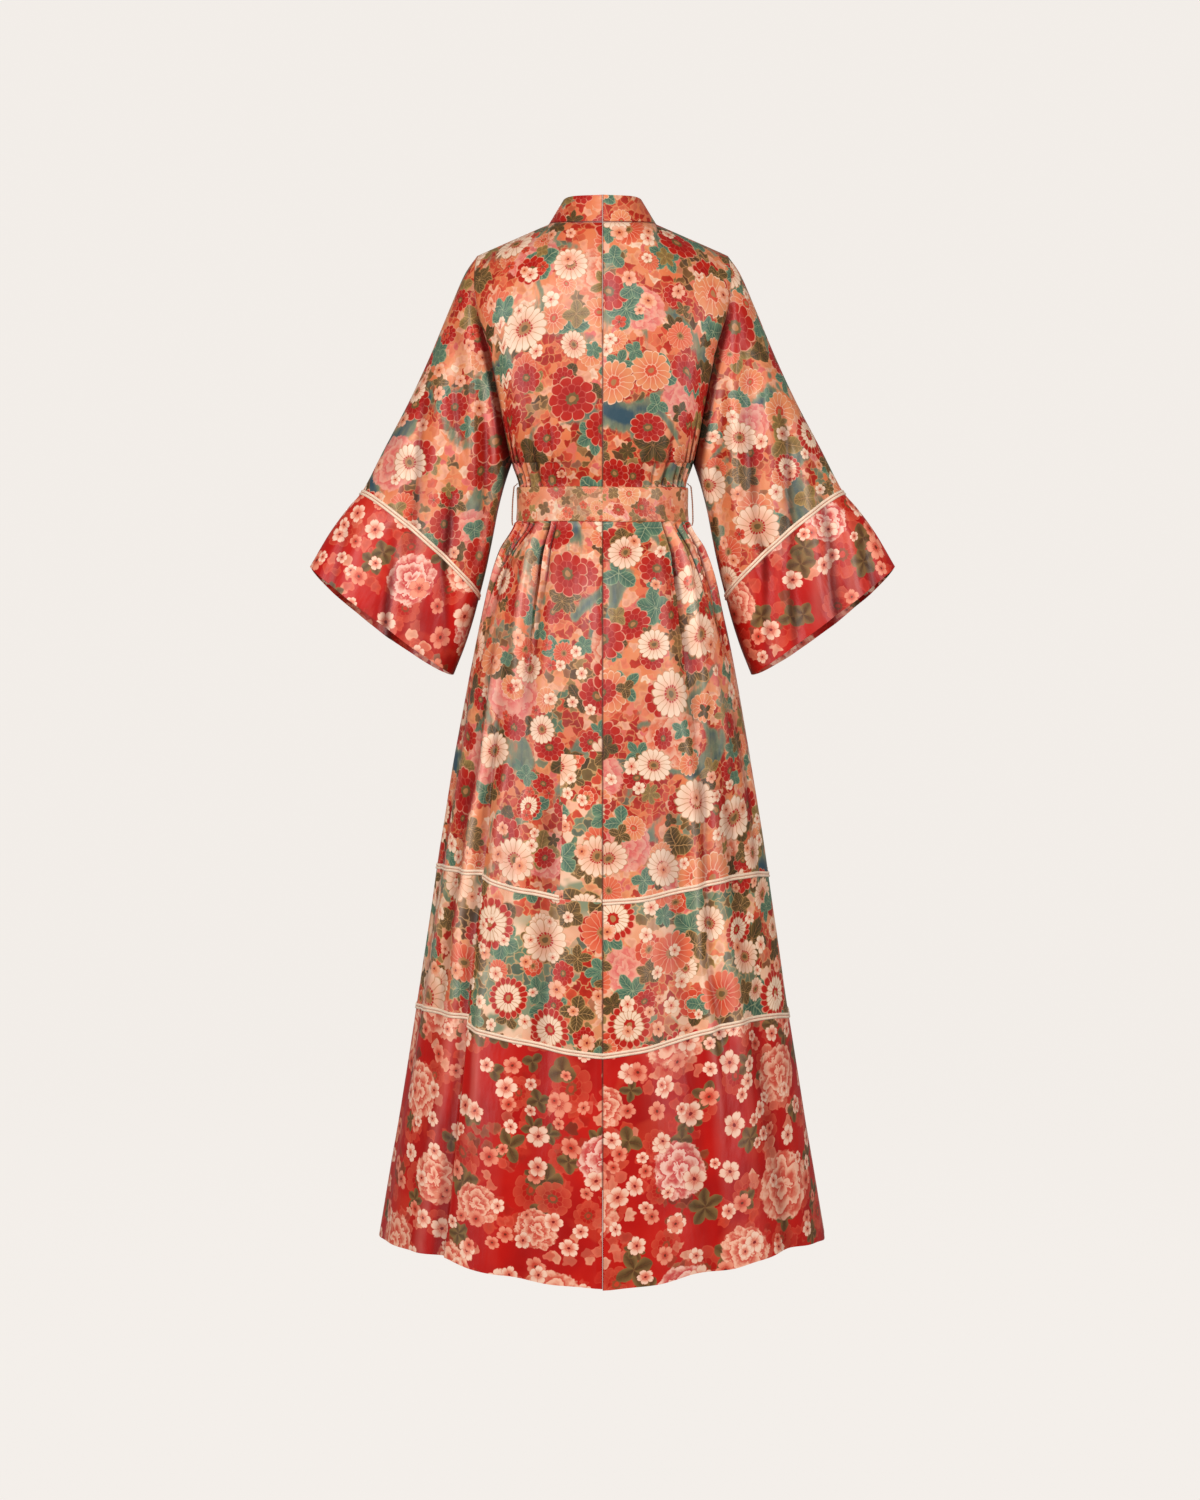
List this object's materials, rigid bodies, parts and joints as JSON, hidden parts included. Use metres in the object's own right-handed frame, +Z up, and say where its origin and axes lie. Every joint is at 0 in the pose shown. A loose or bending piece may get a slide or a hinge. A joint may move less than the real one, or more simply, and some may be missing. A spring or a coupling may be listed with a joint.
{
  "type": "long wrap robe in kimono cut",
  "caption": "Long satin wrap robe in kimono cut, held out as when worn: stand neck band, wide sleeves with red cuffs, tied sash, piped tier seams and a red hem.",
  "frame": {"origin": "middle of the neck base, level with the side neck points of the shoulder seams, where the wearer's neck and shoulders hold the robe up", "axes": "+Z up, -Y the robe's front, +Y its back, +X the wearer's left"},
  "size_m": [0.797, 0.418, 1.4334],
  "materials": {
    "satin_print": "satin with a flower and leaf print on a watery peach ground",
    "satin_mid": "satin with a dense flower and leaf print on a cream ground",
    "satin_red": "satin with cherry blossom on a red ground",
    "satin_sash": "satin with a small pale salmon and olive print",
    "piping": "cream satin piping with a thin rose-brown line",
    "thread": "twisted thread"
  },
  "bodies": {
    "root": {"back_left_upper": "satin_print", "front_left_upper": "satin_print", "back_left_mid": "satin_mid", "front_left_mid": "satin_mid", "back_left_hem": "satin_red", "front_left_hem": "satin_red", "neckband_left": "satin_print", "sleeve_left": "satin_print", "cuff_left": "satin_red", "piping_sleeve_left": "piping", "piping_back_left_1": "piping", "piping_front_left_1": "piping", "piping_back_left_2": "piping", "piping_front_left_2": "piping", "back_right_upper": "satin_print", "front_right_upper": "satin_print", "back_right_mid": "satin_mid", "front_right_mid": "satin_mid", "back_right_hem": "satin_red", "front_right_hem": "satin_red", "neckband_right": "satin_print", "sleeve_right": "satin_print", "cuff_right": "satin_red", "piping_sleeve_right": "piping", "piping_back_right_1": "piping", "piping_front_right_1": "piping", "piping_back_right_2": "piping", "piping_front_right_2": "piping", "belt": "satin_sash", "belt_knot": "satin_sash", "belt_end_left": "satin_sash", "belt_end_right": "satin_sash", "belt_loop_left": "thread", "belt_loop_right": "thread"}
  },
  "joints": []
}
